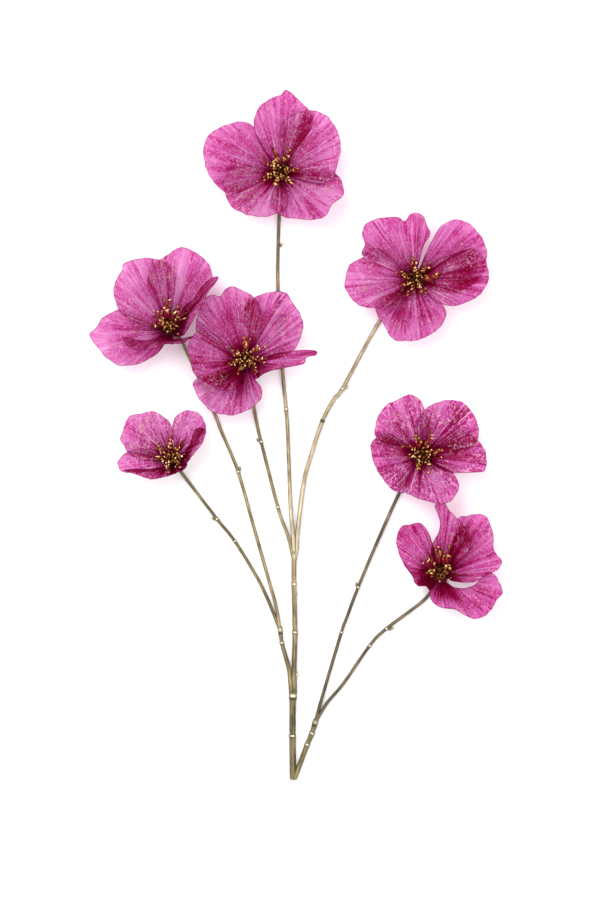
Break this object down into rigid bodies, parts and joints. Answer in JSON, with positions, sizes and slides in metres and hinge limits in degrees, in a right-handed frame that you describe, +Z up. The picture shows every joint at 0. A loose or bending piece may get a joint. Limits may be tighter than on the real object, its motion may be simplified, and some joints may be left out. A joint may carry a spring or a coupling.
{
  "type": "artificial flower spray",
  "caption": "Artificial flower spray lying face up: sheer fabric blooms with beaded stamens on a branching painted twig stem.",
  "frame": {"origin": "on the surface that the spray lies on, under the middle of its outline", "axes": "+Y along the stem from its cut end to the top bloom, +Z up from the surface through the face-up blooms, +X to the right of the spray seen from above"},
  "size_m": [0.3286, 0.5498, 0.0525],
  "materials": {
    "petal_fabric": "sheer crinkled magenta fabric with fine glitter",
    "stamen_thread": "dark red thread",
    "gold_bead": "gold beads on a dark core",
    "stem_paint": "streaky gold-bronze paint with pale flecks"
  },
  "bodies": {
    "root": {"petals_top": "petal_fabric", "stamens_top": "stamen_thread", "centre_top": "gold_bead", "calyx_top": "stem_paint", "stem_top": "stem_paint", "petals_upper_right": "petal_fabric", "stamens_upper_right": "stamen_thread", "centre_upper_right": "gold_bead", "calyx_upper_right": "stem_paint", "stem_upper_right": "stem_paint", "petals_upper_left": "petal_fabric", "stamens_upper_left": "stamen_thread", "centre_upper_left": "gold_bead", "calyx_upper_left": "stem_paint", "stem_upper_left": "stem_paint", "petals_middle": "petal_fabric", "stamens_middle": "stamen_thread", "centre_middle": "gold_bead", "calyx_middle": "stem_paint", "stem_middle": "stem_paint", "petals_left": "petal_fabric", "stamens_left": "stamen_thread", "centre_left": "gold_bead", "calyx_left": "stem_paint", "stem_left": "stem_paint", "petals_right": "petal_fabric", "stamens_right": "stamen_thread", "centre_right": "gold_bead", "calyx_right": "stem_paint", "stem_right": "stem_paint", "petals_lower_right": "petal_fabric", "stamens_lower_right": "stamen_thread", "centre_lower_right": "gold_bead", "calyx_lower_right": "stem_paint", "stem_lower_right": "stem_paint", "main_stem": "stem_paint", "left_branch": "stem_paint", "centre_branch": "stem_paint"}
  },
  "joints": []
}
